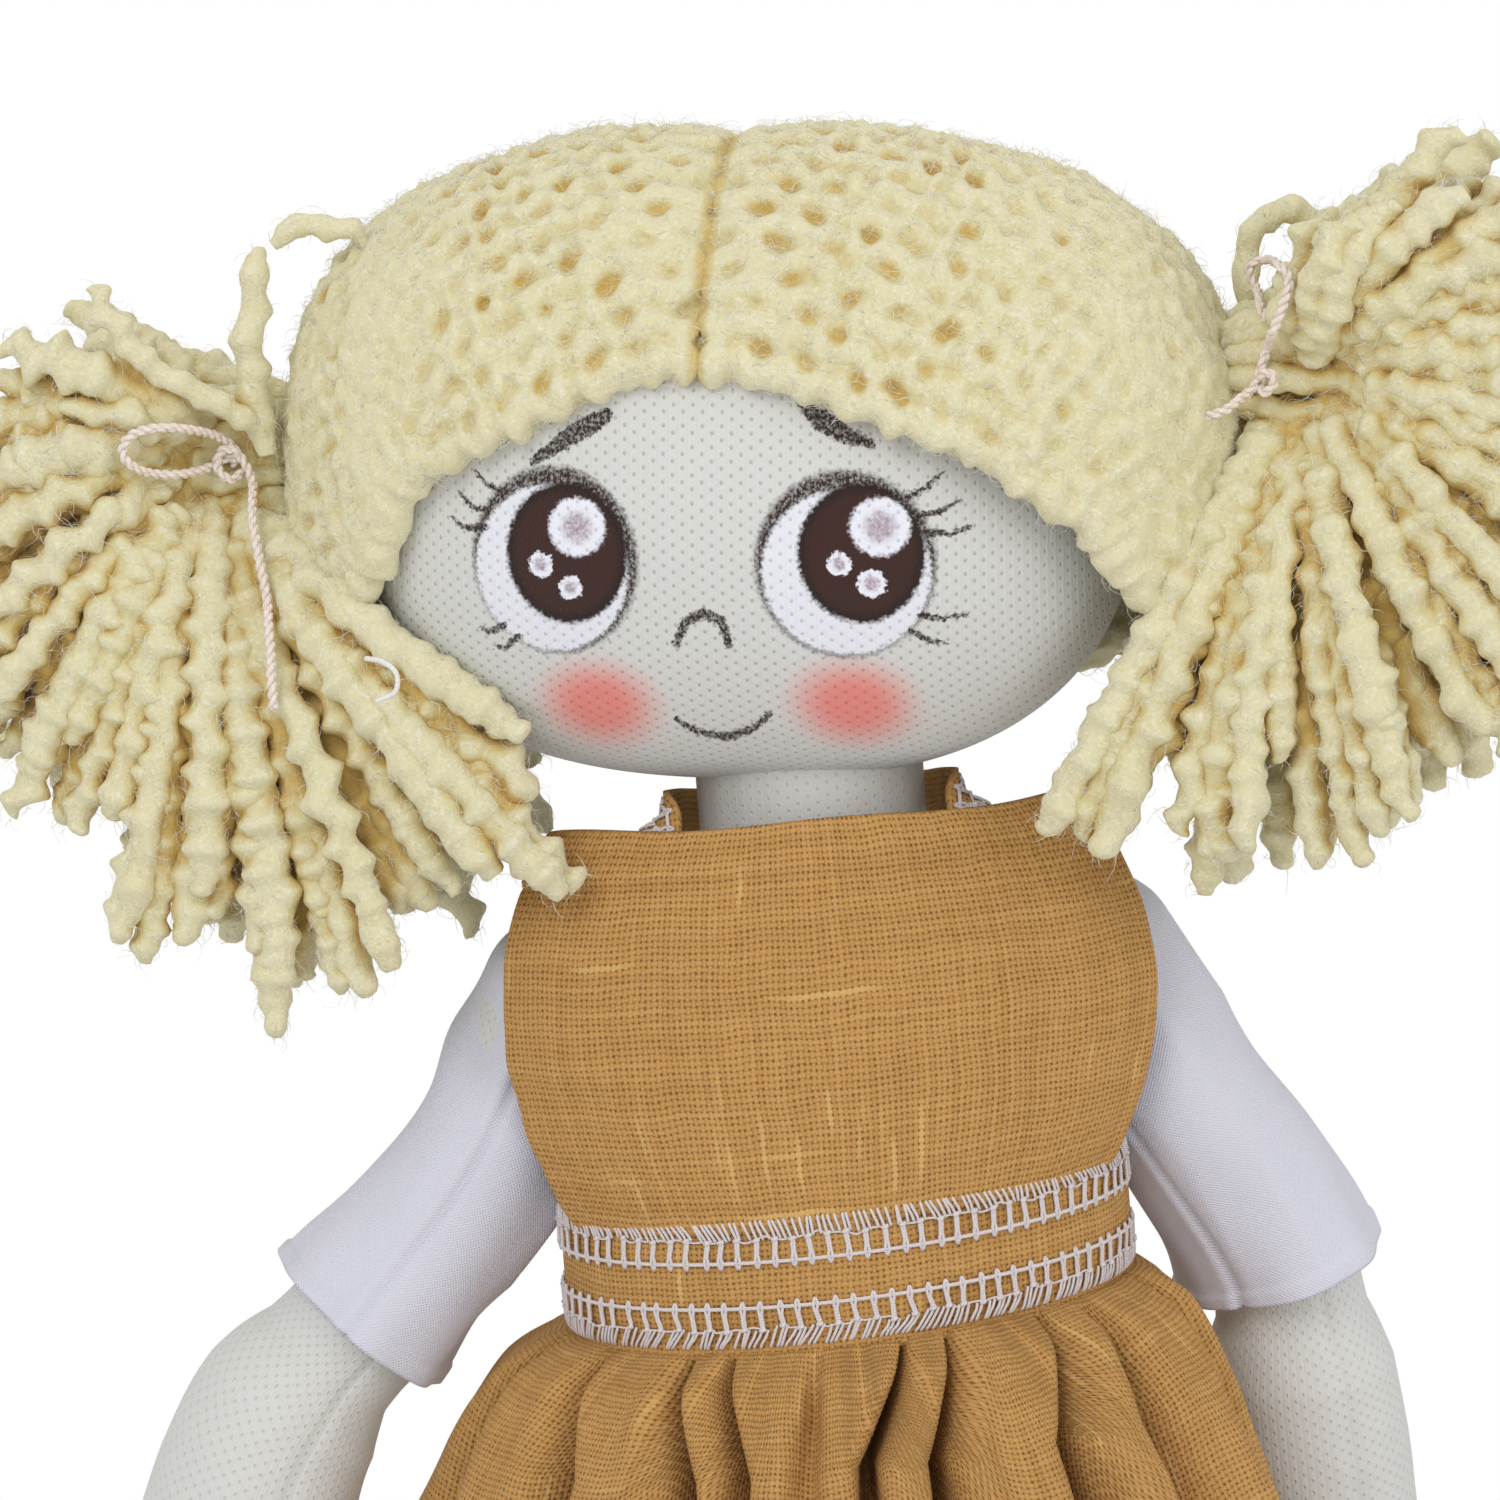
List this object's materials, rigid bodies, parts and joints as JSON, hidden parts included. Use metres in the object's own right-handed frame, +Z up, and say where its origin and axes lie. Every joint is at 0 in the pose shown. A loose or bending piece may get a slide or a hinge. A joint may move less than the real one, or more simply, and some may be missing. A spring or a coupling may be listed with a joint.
{
  "type": "rag doll",
  "caption": "Stuffed cloth rag doll with a wide head, knitted hair cap, two tied yarn pigtails, a linen pinafore with gathered skirt, and thread-jointed arms and legs.",
  "frame": {"origin": "middle of the doll's footprint, on the floor under its soles", "axes": "+Z up, the doll faces -Y, and its own left side is +X"},
  "size_m": [0.1915, 0.1142, 0.2954],
  "materials": {
    "skin_knit": "fine off-white knitted mesh",
    "white_cotton": "plain white cotton",
    "linen": "mustard linen, plain weave with slubs",
    "yarn": "pale yellow soft yarn",
    "twine": "thin two-ply twine",
    "fibrefill": "loose white filling",
    "strong_thread": "waxed white thread"
  },
  "bodies": {
    "torso": {"torso_skin": "white_cotton", "torso_stuffing": "fibrefill", "shoulder_thread": "strong_thread", "waistband": "linen", "bodice_bib": "linen", "neck_strap": "linen", "skirt": "linen"},
    "neck": {"neck_skin": "skin_knit", "neck_stuffing": "fibrefill"},
    "head": {"head_skin": "skin_knit", "head_stuffing": "fibrefill", "hair_cap_right": "yarn", "hair_cap_left": "yarn"},
    "hair_right": {"pigtail_right": "yarn", "hair_tie_right": "twine", "tie_bow_right": "twine"},
    "hair_left": {"pigtail_left": "yarn", "hair_tie_left": "twine", "tie_bow_left": "twine"},
    "arm_right": {"arm_skin_right": "skin_knit", "arm_stuffing_right": "fibrefill", "sleeve_right": "white_cotton"},
    "arm_left": {"arm_skin_left": "skin_knit", "arm_stuffing_left": "fibrefill", "sleeve_left": "white_cotton"},
    "hips": {"hip_thread": "strong_thread"},
    "leg_right": {"leg_skin_right": "skin_knit", "leg_stuffing_right": "fibrefill", "foot_sole_right": "skin_knit"},
    "leg_left": {"leg_skin_left": "skin_knit", "leg_stuffing_left": "fibrefill", "foot_sole_left": "skin_knit"}
  },
  "joints": [
    {"name": "neck_nod", "type": "hinge", "parent": "torso", "child": "neck", "pos_m": [0, 0, 0.205], "axis": [1, 0, 0], "range_deg": [-8, 10]},
    {"name": "head_turn", "type": "hinge", "parent": "neck", "child": "head", "pos_m": [0, 0, 0.22], "axis": [0, 0, 1], "range_deg": [-20, 20]},
    {"name": "pigtail_right_lift", "type": "hinge", "parent": "head", "child": "hair_right", "pos_m": [-0.06024, 0.00619, 0.25959], "axis": [0.1558, 0.9877, -0.0136], "range_deg": [0, 15]},
    {"name": "pigtail_left_lift", "type": "hinge", "parent": "head", "child": "hair_left", "pos_m": [0.05492, -0.01197, 0.26026], "axis": [-0.1558, -0.9877, 0.0136], "range_deg": [0, 15]},
    {"name": "shoulder_right_swing", "type": "hinge", "parent": "torso", "child": "arm_right", "pos_m": [-0.0315, 0.005, 0.192], "axis": [-1, 0, 0], "range_deg": [-30, 70], "deforming": ["bodice_bib"]},
    {"name": "shoulder_left_swing", "type": "hinge", "parent": "torso", "child": "arm_left", "pos_m": [0.0315, 0.005, 0.192], "axis": [-1, 0, 0], "range_deg": [-20, 80], "deforming": ["bodice_bib"]},
    {"name": "sit_bend", "type": "hinge", "parent": "torso", "child": "hips", "pos_m": [0, 0, 0.138], "axis": [-1, 0, 0], "range_deg": [0, 75], "deforming": ["skirt"]},
    {"name": "leg_right_swing", "type": "hinge", "parent": "hips", "child": "leg_right", "pos_m": [-0.022, 0, 0.138], "axis": [-1, 0, 0], "range_deg": [-25, 10]},
    {"name": "leg_left_swing", "type": "hinge", "parent": "hips", "child": "leg_left", "pos_m": [0.022, 0, 0.138], "axis": [-1, 0, 0], "range_deg": [-25, 10]}
  ]
}
